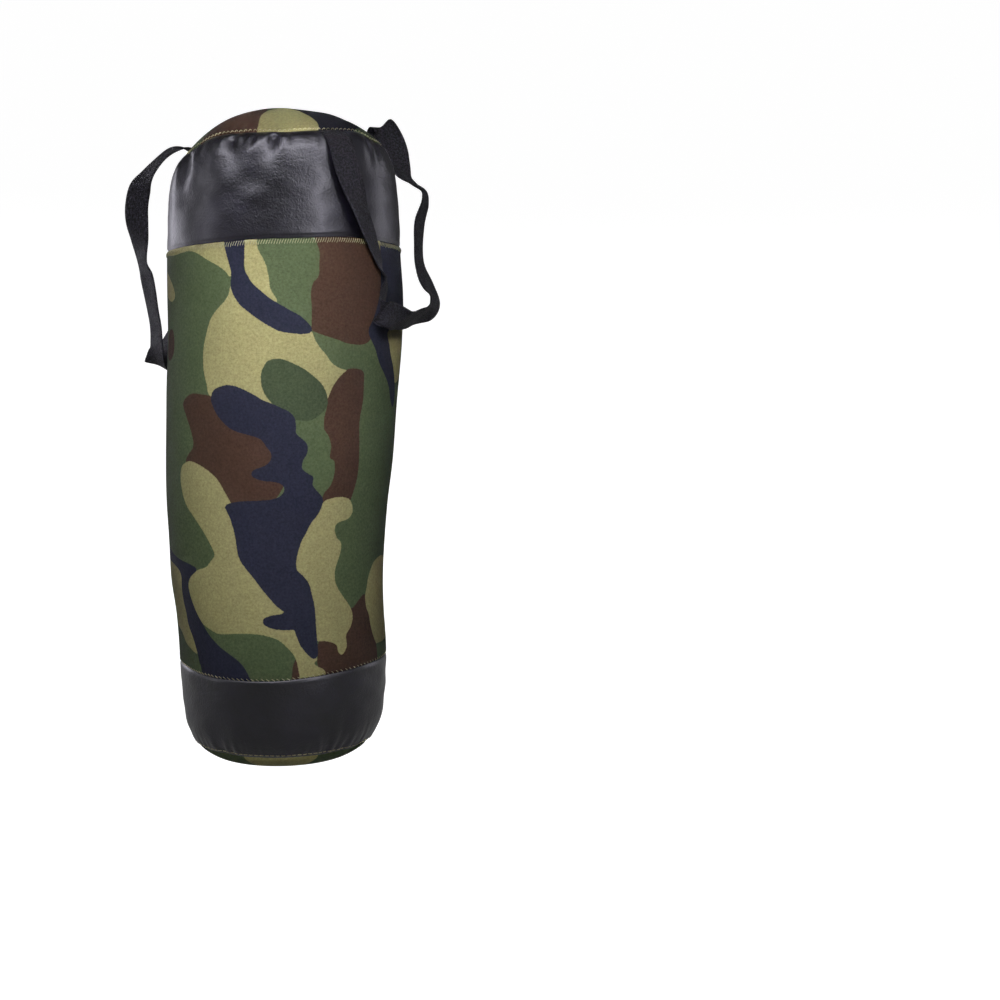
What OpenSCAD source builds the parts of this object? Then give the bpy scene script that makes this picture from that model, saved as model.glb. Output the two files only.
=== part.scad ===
// Toy punching bag: a stuffed camouflage cylinder with two webbing loops at its top seam.
// Millimetres. Z is up, the base rests on z = 0, -Y is the front, +X is to the right.

/* [Bag] */
// Overall height of the stuffed bag
bag_h = 450; // [440:1:460]
// Height of the top seam, where the dome and the webbing are sewn in
top_seam_z = 425; // [422:1:428]
// Radius of the top seam
top_seam_r = 70; // [69:0.5:71]
// Height of the seam between the top band and the body, on the axis
upper_seam_z = 355.5; // [345:0.5:362]
// How far that seam leans up to the right
upper_seam_tilt = 2.5; // [0:0.5:3]
// Height of the seam between the body and the bottom band, on the axis
lower_seam_z = 66.5; // [60:0.5:75]
// How far that seam leans up to the right
lower_seam_tilt = 2.5; // [0:0.5:4]
// Thickness of the sewn cover
skin_t = 1.2; // [0.8:0.1:1.6]

/* [Webbing] */
// Width of the webbing
web_w = 18; // [16:0.5:19]
// Thickness of the webbing
web_t = 1.3; // [1:0.1:1.4]

/* [Stitching] */
// Radius of the sewing thread
thread_r = 0.4; // [0.3:0.05:0.5]
// Stitches round the dome's edge
dome_stitch_n = 132; // [60:1:140]
// Slanted stitches of the overlocked edge at the top of the body
overlock_n = 220; // [80:1:240]
// Slanted stitches of the lower seam
lower_stitch_n = 126; // [60:1:140]
// Stitches round the bottom seam
base_stitch_n = 108; // [50:1:120]
// Spacing of the stitches of the closing seam at the back
back_pitch = 5; // [4:0.5:8]

/* [Hidden] */

base_flat_r = 44;
base_seam_r = 61.5;
base_seam_z = 10;
dome_rise = bag_h - top_seam_z;
dome_ball_r = (top_seam_r * top_seam_r + dome_rise * dome_rise) / (2 * dome_rise);
dome_ball_z = bag_h - dome_ball_r;
thread_proud = 0.15;
cut_size = 400;
steps = 3;

camo = [0.42, 0.41, 0.26];
vinyl = [0.05, 0.05, 0.06];
webbing = [0.04, 0.04, 0.045];
pale_thread = [0.85, 0.82, 0.68];
wadding = [0.9, 0.9, 0.88];

// Outline of the bag as [radius, height], from the centre of the base to the top of the dome.
base_outline = [[0, 0], [base_flat_r, 0], [52, 2.5], [58, 6.5], [base_seam_r, base_seam_z]];
side_outline = [[65, 15.5], [67.6, 21], [69.3, 27], [70.7, 38], [71.6, 48], [72.2, 59], [72.8, 80],
                [73.2, 102], [74.2, 124], [75.4, 146], [77.2, 177], [78.9, 209], [79.7, 251],
                [80.3, 293], [80.9, 324], [80.5, 352], [79.9, 376], [78.9, 396], [77.8, 406],
                [75.6, 416], [73.2, 421.5], [top_seam_r, top_seam_z]];
dome_outline = [for (f = [0.88, 0.72, 0.54, 0.36, 0.18, 0])
    [f * top_seam_r, dome_ball_z + sqrt(pow(dome_ball_r, 2) - pow(f * top_seam_r, 2))]];
outline = concat(base_outline, side_outline, dome_outline);
last = len(outline) - 1;
base_i = len(base_outline) - 1;
top_i = base_i + len(side_outline);
radius_by_z = [for (i = [base_i : top_i]) [outline[i][1], outline[i][0]]];

function unit(v) = v / norm(v);
function outward(i) = let (d = unit(outline[i + 1] - outline[i - 1])) [d[1], -d[0]];
function inset(i, t) = i == 0 ? [0, t]
    : i == last ? [0, bag_h - t]
    : outline[i] - t * outward(i);
function skin_outline(a, b) = concat(
    [for (i = [a : b]) outline[i]],
    [for (i = [b : -1 : a]) inset(i, skin_t)]);

// Webbing: each row is a centre and the direction across the webbing.
left_rows = [
    [-81.5, -17.2, 415.5, -0.25, 0.96, 0],
    [-86.6, -17, 411, -0.4, 0.92, 0],
    [-92.3, -16, 403, -0.6, 0.8, 0.05],
    [-97, -15, 393, -0.85, 0.52, 0],
    [-98.9, -14, 382, -0.88, 0.47, 0],
    [-99.1, -12.5, 371.5, -0.87, 0.48, 0.1],
    [-97.6, -11.5, 360, -0.7, 0.65, 0.25],
    [-95.7, -10.5, 344, -0.33, 0.94, 0],
    [-92.7, -10, 335, -0.47, 0.88, 0],
    [-91, -10, 325, -0.46, 0.89, 0],
    [-88.8, -9.5, 312, -0.43, 0.9, 0],
    [-87.3, -9, 301, -0.45, 0.89, 0],
    [-87.5, -7.5, 291, -0.53, 0.85, 0],
    [-88.5, -4.5, 281, -0.7, 0.65, 0.2],
    [-90, 3.5, 276, -0.85, 0.4, 0.3],
    [-90.5, 13, 276.5, -0.9, 0.3, 0.2],
    [-88.5, 22, 282, -0.7, 0.7, 0.1],
    [-84.5, 31.5, 293, -0.35, 0.93, 0],
    [-78, 42.5, 311, 0, 1, 0],
    [-69, 53.5, 333, 0.3, 0.95, 0],
    [-58.5, 64.5, 358, 0.5, 0.86, 0],
    [-47.5, 73.5, 384, 0.7, 0.7, 0],
    [-36.5, 79.5, 406, 0.88, 0.47, 0],
    [-28, 79.8, 417.5, 0.94, 0.34, 0]];
left_front_tab = [
    [-64, -13.6, 423, -0.208, 0.978, 0],
    [-69.5, -14.8, 424, -0.208, 0.978, 0],
    [-76.5, -16.3, 419.8, -0.23, 0.97, 0]];
left_back_tab = [
    [-25.2, 73.3, 421, -0.95, -0.31, 0],
    [-23.3, 67.8, 424.5, -0.945, -0.326, 0],
    [-21.2, 61.5, 422, -0.945, -0.326, 0]];

right_rows = [
    [42.3, -70.6, 413, 0.85, 0.52, 0],
    [43.8, -72.5, 405, 0.84, 0.54, 0],
    [46.7, -72, 392, 0.75, 0.66, 0],
    [51.2, -70, 376.4, 0.52, 0.85, -0.1],
    [57.6, -65.5, 358, 0.5, 0.82, -0.27],
    [63.6, -61, 341.4, 0.33, 0.9, -0.3],
    [67.6, -59.5, 331, 0.1, 0.9, -0.42],
    [64.4, -68, 318, 0.05, 0.4, -0.9],
    [63.5, -75, 310.5, 0, 0.05, -1],
    [70, -72.5, 308, 0, 0.2, -0.97],
    [79.6, -60, 306.5, 0.1, 0.9, -0.4],
    [90, -41, 310.5, 0.2, 0.95, -0.2],
    [100.5, -25, 316, 0.35, 0.92, -0.1],
    [104, -14, 323.5, 0.42, 0.9, 0.05],
    [99.3, -8, 335, 0.6, 0.8, 0],
    [95.2, -4, 347.5, 0.4, 0.92, 0],
    [94.6, -1, 360, 0.28, 0.96, 0],
    [96.4, 2, 377, 0.22, 0.97, 0],
    [99.5, 4, 391, 0.12, 0.98, 0.1],
    [97.5, 6.5, 399, 0.1, 0.97, 0.2],
    [90.9, 10, 405, 0.15, 0.97, 0.2],
    [83.5, 13, 411.5, 0.15, 0.97, 0.2],
    [80, 16, 422.5, 0.35, 0.9, 0.25],
    [75.5, 19, 435, 0.97, 0.1, 0.2],
    [70.5, 22, 446, 0.7, 0.2, 0.68]];
right_front_tab = [
    [33.3, -55.5, 422.8, 0.857, 0.515, 0],
    [36.8, -61.2, 426.3, 0.857, 0.515, 0],
    [40.3, -67, 419.5, 0.857, 0.515, 0]];
right_back_tab = [
    [68.3, 25.8, 445.5, 0.75, -0.2, 0.6],
    [66.5, 28.5, 438, 0.65, -0.62, 0.35],
    [65, 29.3, 429, 0.48, -0.87, 0.05],
    [61, 27.2, 422.5, 0.407, -0.914, 0]];

function bend(p0, p1, p2, p3, t) = 0.5 * (2 * p1 + (p2 - p0) * t
    + (2 * p0 - 5 * p1 + 4 * p2 - p3) * t * t
    + (3 * p1 - 3 * p2 + p3 - p0) * t * t * t);
function smooth(rows) = let (n = len(rows)) concat(
    [for (i = [0 : n - 2]) for (k = [0 : steps - 1])
        bend(rows[max(i - 1, 0)], rows[i], rows[i + 1], rows[min(i + 2, n - 1)], k / steps)],
    [rows[n - 1]]);
function centre(row) = [row[0], row[1], row[2]];
function across(row) = [row[3], row[4], row[5]];
function along(rows, i) = unit(centre(rows[min(i + 1, len(rows) - 1)])
    - centre(rows[max(i - 1, 0)]));
function section(c, w, n) = [
    c - w * web_w / 2 - n * web_t / 2,
    c + w * web_w / 2 - n * web_t / 2,
    c + w * web_w / 2 + n * web_t / 2,
    c - w * web_w / 2 + n * web_t / 2];

module ribbon(rows) {
    path = smooth(rows);
    count = len(path);
    points = [for (i = [0 : count - 1])
        let (t = along(path, i), raw = unit(across(path[i])),
             w = unit(raw - (raw * t) * t), n = cross(t, w))
        each section(centre(path[i]), w, n)];
    sides = [for (i = [0 : count - 2]) for (k = [0 : 3])
        let (a = 4 * i + k, b = 4 * i + (k + 1) % 4)
        each [[a, b, b + 4], [a, b + 4, a + 4]]];
    end = 4 * (count - 1);
    polyhedron(points, concat(sides, [[0, 3, 2], [0, 2, 1],
        [end, end + 1, end + 2], [end, end + 2, end + 3]]));
}

module above(z, tilt) {
    translate([0, 0, z])
        rotate([0, -tilt, 0])
            translate([-cut_size / 2, -cut_size / 2, 0])
                cube(cut_size);
}

module side_skin() {
    rotate_extrude() polygon(skin_outline(base_i, top_i));
}

module top_panel() {
    color(camo) rotate_extrude() polygon(skin_outline(top_i, last));
}

module top_band() {
    color(vinyl) intersection() {
        side_skin();
        above(upper_seam_z, upper_seam_tilt);
    }
}

module body_panel() {
    color(camo) difference() {
        intersection() {
            side_skin();
            above(lower_seam_z, lower_seam_tilt);
        }
        above(upper_seam_z, upper_seam_tilt);
    }
}

module bottom_band() {
    color(vinyl) difference() {
        side_skin();
        above(lower_seam_z, lower_seam_tilt);
    }
}

module bottom_panel() {
    color(camo) rotate_extrude() polygon(skin_outline(0, base_i));
}

module filling() {
    color(wadding) rotate_extrude() polygon([for (i = [0 : last]) inset(i, skin_t)]);
}

module left_strap() {
    color(webbing) ribbon(left_rows);
}

module left_strap_ends() {
    color(webbing) {
        ribbon(left_front_tab);
        ribbon(left_back_tab);
    }
}

module right_strap() {
    color(webbing) ribbon(right_rows);
}

module right_strap_ends() {
    color(webbing) {
        ribbon(right_front_tab);
        ribbon(right_back_tab);
    }
}

// One stitch: a piece of thread of the given length, half sunk in the cover.
// lean is 0 for a stitch along the seam and 90 for one across it.
module stitch(angle, r, z, length, lean) {
    rotate([0, 0, angle])
        translate([0, -r - thread_proud, z])
            rotate([0, 90 - lean, 0])
                cylinder(h = length, r = thread_r, center = true);
}

module dome_stitches() {
    row_r = top_seam_r - 2.4;
    row_z = dome_ball_z + sqrt(pow(dome_ball_r, 2) - pow(row_r, 2));
    color(pale_thread) for (i = [0 : dome_stitch_n - 1])
        stitch(i * 360 / dome_stitch_n, row_r, row_z, 2.4, 0);
}

module overlock_stitches() {
    drop = 3;
    color(pale_thread) for (i = [0 : overlock_n - 1]) {
        angle = (i + 0.5) * 360 / overlock_n;
        z = upper_seam_z - drop + tan(upper_seam_tilt) * lookup(upper_seam_z, radius_by_z) * sin(angle);
        stitch(angle, lookup(z, radius_by_z), z, 4, 62);
    }
}

module lower_seam_stitches() {
    color(pale_thread) for (i = [0 : lower_stitch_n - 1]) {
        angle = (i + 0.5) * 360 / lower_stitch_n;
        z = lower_seam_z + tan(lower_seam_tilt) * lookup(lower_seam_z, radius_by_z) * sin(angle);
        stitch(angle, lookup(z, radius_by_z), z, 2.6, 30);
    }
}

module base_stitches() {
    row_z = base_seam_z + 2.4;
    color(pale_thread) for (i = [0 : base_stitch_n - 1])
        stitch((i + 0.5) * 360 / base_stitch_n, lookup(row_z, radius_by_z), row_z, 2.4, 0);
}

module back_seam_stitches() {
    low = base_seam_z + 10;
    high = top_seam_z - 14;
    seam_gap = 8;
    color(vinyl) for (z = [low : back_pitch : high])
        if (min(abs(z - upper_seam_z), abs(z - lower_seam_z)) > seam_gap)
            stitch(180, lookup(z, radius_by_z), z, 3, 90);
}

top_panel();
top_band();
body_panel();
bottom_band();
bottom_panel();
filling();
left_strap();
left_strap_ends();
right_strap();
right_strap_ends();
dome_stitches();
overlock_stitches();
lower_seam_stitches();
base_stitches();
back_seam_stitches();
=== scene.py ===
"""Looks of the stuffed camouflage punching bag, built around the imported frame. Metres, Z up, -Y front.

Shapes are given in millimetres of a 450 mm bag and multiplied by MM, which comes from the frame.
"Azimuth" is in degrees round the bag: 0 at the front, positive to the right, 180 at the back.
"""
import math

import bpy
import numpy as np
from mathutils import Matrix, Vector


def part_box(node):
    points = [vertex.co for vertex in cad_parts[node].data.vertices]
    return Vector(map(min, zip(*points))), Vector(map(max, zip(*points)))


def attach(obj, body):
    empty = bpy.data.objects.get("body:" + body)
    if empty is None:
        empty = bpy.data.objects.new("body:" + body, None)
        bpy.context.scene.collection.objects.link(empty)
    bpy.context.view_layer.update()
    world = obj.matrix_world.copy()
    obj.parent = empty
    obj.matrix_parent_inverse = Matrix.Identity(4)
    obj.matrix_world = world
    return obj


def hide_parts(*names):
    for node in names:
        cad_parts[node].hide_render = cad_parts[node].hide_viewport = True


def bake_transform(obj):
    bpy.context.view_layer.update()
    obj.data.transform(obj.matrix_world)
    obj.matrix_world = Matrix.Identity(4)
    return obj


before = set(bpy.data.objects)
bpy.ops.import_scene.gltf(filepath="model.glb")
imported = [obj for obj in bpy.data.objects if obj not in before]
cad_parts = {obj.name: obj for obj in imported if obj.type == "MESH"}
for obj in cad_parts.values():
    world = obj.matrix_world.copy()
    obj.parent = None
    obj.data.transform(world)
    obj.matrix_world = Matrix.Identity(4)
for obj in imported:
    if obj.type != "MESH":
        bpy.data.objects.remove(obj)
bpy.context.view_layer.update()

NOMINAL_H = 450.0
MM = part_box("top_panel")[1].z / NOMINAL_H
SCENE = bpy.context.scene
# Thickness of the cover, mean radius of the bag and one degree of azimuth there.
SKIN = 1.1
MEAN_R = 79.0
ARC = math.radians(1) * MEAN_R
DOME_STITCHES = 132


# ---- small maths helpers
def smoothstep(t):
    t = np.clip(t, 0.0, 1.0)
    return t * t * (3 - 2 * t)


def bell(x, width):
    """1 where x is 0, falling to nothing over about two widths."""
    return np.exp(-(x / width)**2)


def spline(before, here, ahead, after, t):
    """Catmull-Rom: the point at t, 0 to 1, on the way from here to ahead."""
    return 0.5 * (2 * here + (ahead - before) * t
                  + (2 * before - 5 * here + 4 * ahead - after) * t**2
                  + (3 * here - 3 * ahead + after - before) * t**3)


def curve(pairs):
    """A smooth function through (x, y) pairs."""
    xs = np.array([p[0] for p in pairs], float)
    ys = np.array([p[1] for p in pairs], float)
    slope = np.gradient(ys, xs)

    def at(x):
        x = np.clip(x, xs[0], xs[-1])
        i = np.clip(np.searchsorted(xs, x) - 1, 0, len(xs) - 2)
        h = xs[i + 1] - xs[i]
        t = (x - xs[i]) / h
        a, b = ys[i], ys[i + 1]
        ma, mb = slope[i] * h, slope[i + 1] * h
        return (a * (2 * t**3 - 3 * t**2 + 1) + ma * (t**3 - 2 * t**2 + t)
                + b * (3 * t**2 - 2 * t**3) + mb * (t**3 - t**2))
    return at


def turn(az):
    """Azimuth brought into -180..180."""
    return (az + 180.0) % 360.0 - 180.0


def waves(n_terms, around, upward, size, seed):
    """A smooth random field over (azimuth, z), periodic round the bag, about `size` mm high."""
    rng = np.random.default_rng(seed)
    n = rng.integers(around[0], around[1] + 1, n_terms)
    q = rng.uniform(upward[0], upward[1], n_terms) * rng.choice([-1, 1], n_terms)
    ph = rng.uniform(0, 2 * math.pi, n_terms)
    amp = rng.uniform(0.5, 1.0, n_terms)
    amp *= size / np.sqrt(np.sum(amp**2) / 2)

    def at(az, z):
        total = np.zeros(np.broadcast(az, z).shape)
        for k in range(n_terms):
            total = total + amp[k] * np.cos(n[k] * np.radians(az) + q[k] * z + ph[k])
        return total
    return at


# ---- the bag's own form
# Radius and sideways lean of the filled bag at each height.
RADIUS = curve([(0, 56), (4, 57), (10, 61.5), (15.5, 65.2), (21, 67.8), (27, 69.5), (38, 70.9),
                (59, 72.4), (81, 72.9), (102, 73.2), (124, 74.4), (146, 75.4), (177, 77.3),
                (209, 79.1), (251, 79.7), (293, 80.2), (324, 81), (355, 80.3), (380, 80),
                (396, 79), (406, 77.9), (416, 75.4), (421, 73), (425, 70), (430, 66)])
LEAN = curve([(0, -0.5), (10, 0), (27, 0.7), (59, 0.4), (81, -0.3), (102, -2), (124, -4),
              (150, -4.5), (177, -4.2), (209, -2.2), (251, -0.6), (293, 1.6), (324, 1.9),
              (355, 0.9), (425, 0.9)])
TOP_Z, UPPER_Z, LOWER_Z, BASE_Z = 425.0, 355.5, 66.5, 10.0
TOP_R, BODY_R, BASE_R, FLAT_R = 70.0, 80.0, 61.5, 44.0
DOME_RISE = NOMINAL_H - TOP_Z
# Height of each seam round the bag.
TOP_SEAM = curve([(-180, 418), (-120, 416), (-85, 415), (-57, 418.5), (-44, 422.6), (-34, 424),
                  (-13, 424.9), (0, 425.5), (14, 427), (30, 429), (45, 430), (58, 427),
                  (73, 426), (83, 422), (92, 414), (120, 414), (150, 416), (180, 418)])
UPPER_SEAM = curve([(-180, 355.5), (-130, 352.5), (-90, 351.5), (-62, 351.9), (-32, 353.3),
                    (-9, 355.4), (8, 356.7), (31, 359), (51, 358.6), (90, 358), (140, 357),
                    (180, 355.5)])
LOWER_SEAM = curve([(-180, 68.5), (-120, 68), (-70, 67.2), (-48, 65.2), (-15, 64.6), (0, 65.1),
                    (15, 66.8), (32, 68.6), (46, 70.2), (74, 71.6), (130, 70.5), (180, 68.5)])

LUMPS = waves(14, (2, 6), (0.008, 0.035), 0.35, 11)
SOFT_FOLDS = waves(16, (3, 14), (0.02, 0.09), 0.16, 12)
BAND_CREASES = waves(26, (2, 16), (0.10, 0.42), 0.10, 13)


def make_puckers(count, strong, depth, length, seed):
    """Short folds below a gathered seam: azimuth, half width, depth, length and slant of each."""
    rng = np.random.default_rng(seed)
    rows = []
    for k in range(count):
        az = -180 + 360 * (k + rng.uniform(0.1, 0.9)) / count
        rows.append((az, rng.uniform(0.9, 1.9), rng.uniform(*depth), rng.uniform(*length),
                     rng.uniform(-0.15, 0.15)))
    for az, wide, deep, long_, slant in strong:
        rows.append((az, wide, deep, long_, slant))
    return rows


def pucker_field(rows, az, down, radius):
    """How far the folds draw the cover in, `down` mm away from their seam."""
    total = np.zeros(np.broadcast(az, down).shape)
    for centre, wide, deep, long_, slant in rows:
        along = np.radians(turn(az - centre)) * radius - slant * down
        spread = wide * (1 + 0.05 * down)
        fold = bell(along, spread) - 0.35 * bell(np.abs(along) - 2.1 * spread, spread)
        total = total + deep * fold * np.exp(-(np.maximum(down, 0) / long_)**1.6)
    return total * smoothstep((down - 0.3) / 4.5)


TOP_PUCKERS = make_puckers(52, [(-61, 3.0, 3.0, 26, 0.15), (-54, 2.4, 2.4, 20, -0.1),
                                (-47, 2.0, 1.0, 12, 0.0), (-36, 1.8, 1.2, 9, 0.1),
                                (-29, 3.2, 4.0, 13, 0.2), (-21, 2.0, 1.8, 8, 0.05),
                                (-16, 1.5, 2.0, 7, 0.0), (-12, 1.4, 1.8, 7, 0.0),
                                (-5.5, 2.8, 4.0, 15, -0.2), (2, 1.6, 0.9, 8, 0.0),
                                (47, 1.8, 1.6, 16, 0.0), (54, 1.6, 1.2, 14, 0.0)],
                           (0.1, 0.7), (4, 11), 21)
BASE_PUCKERS = make_puckers(58, [(-40, 2.2, 2.0, 16, 0.1), (-33, 1.6, 1.4, 12, 0),
                                 (27, 2.2, 2.0, 15, -0.1), (33, 1.6, 1.8, 17, 0.1),
                                 (39, 1.8, 1.6, 12, 0.0)],
                            (0.3, 1.2), (5, 14), 22)
DOME_PUCKERS = make_puckers(60, [], (0.15, 0.7), (4, 12), 23)
CLOTH_PUCKERS = make_puckers(40, [], (0.08, 0.3), (5, 16), 24)


def seam_shift(az, zn):
    """How far up the real place is from the nominal height zn, since the seams lean and droop."""
    az = turn(az)
    low, up, top = LOWER_SEAM(az) - LOWER_Z, UPPER_SEAM(az) - UPPER_Z, TOP_SEAM(az) - TOP_Z
    a = np.clip((zn - BASE_Z) / (LOWER_Z - BASE_Z), 0, 1)
    b = np.clip((zn - LOWER_Z) / (UPPER_Z - LOWER_Z), 0, 1)
    c = np.clip((zn - UPPER_Z) / (TOP_Z - UPPER_Z), 0, 1)
    shift = low * a + (up - low) * b
    return shift + (top - up) * c


GROOVE, GROOVE_WIDE = 1.3, 1.6    # the dip along the seams of the two end panels


def side(az, zn, out=0.0, plain=False):
    """A point of the cover's side, in mm: azimuth, nominal height, and how far proud of it."""
    az, zn = np.broadcast_arrays(np.asarray(az, float), np.asarray(zn, float))
    z = zn + seam_shift(az, zn)
    droop = (TOP_SEAM(turn(az)) - TOP_Z) * smoothstep((zn - 385) / (TOP_Z - 385))
    r = RADIUS(z - droop)
    if not plain:
        top_d, base_d = TOP_Z - zn, zn - BASE_Z
        r = r + LUMPS(az, z) + SOFT_FOLDS(az, z)
        in_band = smoothstep((zn - UPPER_Z) / 6) + smoothstep((LOWER_Z - zn) / 6)
        r = r + BAND_CREASES(az, z) * in_band
        r = r - pucker_field(TOP_PUCKERS, az, top_d, TOP_R) * smoothstep((zn - 370) / 15)
        r = r - pucker_field(BASE_PUCKERS, az, base_d, BASE_R) * smoothstep((60 - zn) / 15)
        for seam, under in ((UPPER_Z, -1), (LOWER_Z, 1)):
            cloth = smoothstep(under * (zn - seam) / 3)
            away = np.abs(zn - seam)
            near = pucker_field(CLOTH_PUCKERS, az * (1 + 0.02 * under), away, BODY_R)
            r = r - near * (0.35 + 0.65 * cloth)
        r = r - GROOVE * bell(top_d, GROOVE_WIDE) - GROOVE * bell(base_d, GROOVE_WIDE)
        r = r - 0.9 * bell(zn - LOWER_Z, 1.3) - 1.2 * bell(zn - UPPER_Z - 0.9, 0.9)
        back = np.radians(turn(az - 180)) * MEAN_R
        r = r - bell(back, 1.1) + 0.35 * bell(np.abs(back) - 3.5, 2)
    r = r + out
    a = np.radians(az)
    return np.stack([LEAN(z) + r * np.sin(a), -r * np.cos(a), z], -1)


def dome(az, f, out=0.0, plain=False):
    """A point of the domed top, in mm; f is 0 at its middle and 1 at the seam."""
    az, f = np.broadcast_arrays(np.asarray(az, float), np.asarray(f, float))
    a = np.radians(az)
    rim_z = TOP_SEAM(turn(az))
    r = TOP_R * f
    z = TOP_Z + (rim_z - TOP_Z) * f**3 + DOME_RISE * (1 - f**2.6)
    if not plain:
        edge = TOP_R * (1 - f)
        z = z + (LUMPS(az, 500 + 3 * r) * 1.2 + SOFT_FOLDS(az, 600 + 2 * r)) * f
        z = z - pucker_field(DOME_PUCKERS, az, edge, TOP_R) * f
        z = z - bell(edge, 1.3)
        r = r - GROOVE * bell(edge, GROOVE_WIDE)
        z = z + 0.3 * np.cos(a * DOME_STITCHES) * bell(edge - 1.0, 1.6)
    z = z + out * f * 0.3 + out
    return np.stack([LEAN(z) + r * np.sin(a), -r * np.cos(a), z], -1)


def base(az, f, out=0.0, plain=False):
    """A point of the bottom panel, in mm; f is 0 at its middle and 1 at the seam."""
    az, f = np.broadcast_arrays(np.asarray(az, float), np.asarray(f, float))
    a = np.radians(az)
    r = BASE_R * f
    z = BASE_Z * np.clip((r - FLAT_R) / (BASE_R - FLAT_R), 0, 1)**1.6
    if not plain:
        edge = BASE_R * (1 - f)
        r = r - GROOVE * bell(edge, GROOVE_WIDE)
        z = z + 0.4 * bell(edge, 1.3)
        z = z + np.maximum(pucker_field(DOME_PUCKERS, az, edge, BASE_R), 0) * smoothstep(f * 3 - 2)
    z = z - out
    return np.stack([LEAN(z) + r * np.sin(a), -r * np.cos(a), z], -1)


# ---- mesh helpers
def new_object(name, verts, faces, material):
    mesh = bpy.data.meshes.new(name)
    mesh.from_pydata([tuple(v) for v in verts], [], faces)
    mesh.validate()
    mesh.update()
    mesh.polygons.foreach_set("use_smooth", [True] * len(mesh.polygons))
    mesh.materials.append(material)
    obj = bpy.data.objects.new(name, mesh)
    SCENE.collection.objects.link(obj)
    return obj


def put(obj, name, values, kind="FLOAT", field="value"):
    """A value on each vertex, for the material."""
    layer = obj.data.attributes.new(name, kind, "POINT")
    layer.data.foreach_set(field, np.asarray(values, np.float32).ravel())


def ring_faces(rows, columns, first=0):
    """Four-sided faces between closed rings of points that are stored one ring after another."""
    faces = []
    for i in range(rows - 1):
        this, following = first + i * columns, first + (i + 1) * columns
        for j in range(columns):
            k = (j + 1) % columns
            faces.append((this + j, this + k, following + k, following + j))
    return faces


def turned_over(face):
    return (face[0],) + face[:0:-1]


def tube_shell(name, outer, inner, material):
    """A closed sleeve from two (rows, columns, 3) grids that run round the bag."""
    rows, columns = outer.shape[:2]
    n = rows * columns
    faces = []
    for face in ring_faces(rows, columns):
        faces.append(face)
        faces.append(tuple(n + v for v in reversed(face)))
    t = (rows - 1) * columns
    for j in range(columns):
        k = (j + 1) % columns
        faces.append((n + j, n + k, k, j))
        faces.append((t + j, t + k, n + t + k, n + t + j))
    verts = np.concatenate([outer.reshape(-1, 3), inner.reshape(-1, 3)]) * MM
    return new_object(name, verts, faces, material)


def disc_shell(name, points, rings, columns, material):
    """A closed round panel: the rings of its two faces from the middle out, then their middles."""
    n = rings * columns
    faces = []
    for face in ring_faces(rings, columns):
        faces.append(face[::-1])
        faces.append(tuple(n + v for v in face))
    t = (rings - 1) * columns
    for j in range(columns):
        k = (j + 1) % columns
        faces.append((2 * n, j, k))
        faces.append((2 * n + 1, n + k, n + j))
        faces.append((t + k, t + j, n + t + j, n + t + k))
    return new_object(name, points * MM, faces, material)


# ---- the camouflage print
# Each patch is a closed outline of (azimuth, height) on the cloth, in degrees and mm.
BROWN = [
    [(16, 366), (16, 348), (15.5, 340), (15, 332.5), (12, 327.5), (11, 320), (11.5, 312),
     (11.5, 301), (12, 297), (18, 294), (25, 291.5), (32, 289), (42, 290), (47, 300),
     (50, 320), (54, 345), (55, 366)],
    [(25.5, 265), (28.5, 269.5), (30.5, 272), (35, 273), (41, 271), (42, 263), (42, 251.5),
     (40, 237), (40.5, 221), (41, 203), (39.5, 191), (36.5, 183), (29, 181), (22, 182),
     (22, 190), (25, 195), (26.5, 203), (26, 211.5), (23.5, 214), (24, 221), (22.5, 228),
     (20, 233), (20, 241), (21, 247.5), (21, 254), (23, 259.5)],
    [(-56, 247), (-55, 251), (-49.5, 255), (-41, 254.5), (-36, 254), (-28, 256), (-18, 250),
     (-6, 243), (2, 236), (2, 195), (-10, 178), (-26, 172), (-42, 185), (-50, 200),
     (-52, 211), (-47, 220), (-49, 230), (-53, 240)],
    [(36, 118), (40, 111), (43.5, 113), (48, 117.5), (51.5, 119), (52, 110), (54, 104),
     (55, 96.5), (57, 89), (59.5, 84), (61, 75), (61, 58), (22, 58), (22, 68), (18, 74),
     (18, 80), (19, 90), (24, 96), (32, 104)],
    [(4, 58), (4, 68), (5, 76), (7.5, 81), (9, 77), (10, 58)],
    [(-80, 281), (-80, 292), (-76, 298), (-71, 297), (-69, 289), (-70, 281), (-75, 277)],
    [(92, 240), (100, 254), (110, 248), (118, 236), (128, 226), (130, 210), (124, 196),
     (126, 180), (116, 170), (104, 166), (94, 178), (90, 205)],
    [(150, 300), (160, 318), (172, 322), (188, 316), (188, 286), (176, 278), (164, 284)],
    [(156, 128), (166, 140), (180, 138), (188, 120), (186, 100), (176, 88), (162, 86),
     (152, 98), (150, 114)],
    [(116, 366), (118, 350), (130, 344), (142, 348), (150, 356), (150, 366)],
    [(-180, 288), (-168, 300), (-158, 290), (-160, 272), (-152, 258), (-160, 244),
     (-172, 240), (-188, 246), (-190, 278)],
    [(-104, 320), (-95, 324), (-86, 314), (-83, 298), (-88, 282), (-85, 268), (-92, 256),
     (-102, 262), (-106, 280), (-102, 300)],
    [(-170, 140), (-156, 142), (-142, 132), (-138, 116), (-144, 100), (-156, 92),
     (-170, 98), (-178, 116)],
    [(-100, 240), (-91, 244), (-84, 235), (-86, 222), (-95, 216), (-104, 224)],
]
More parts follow.
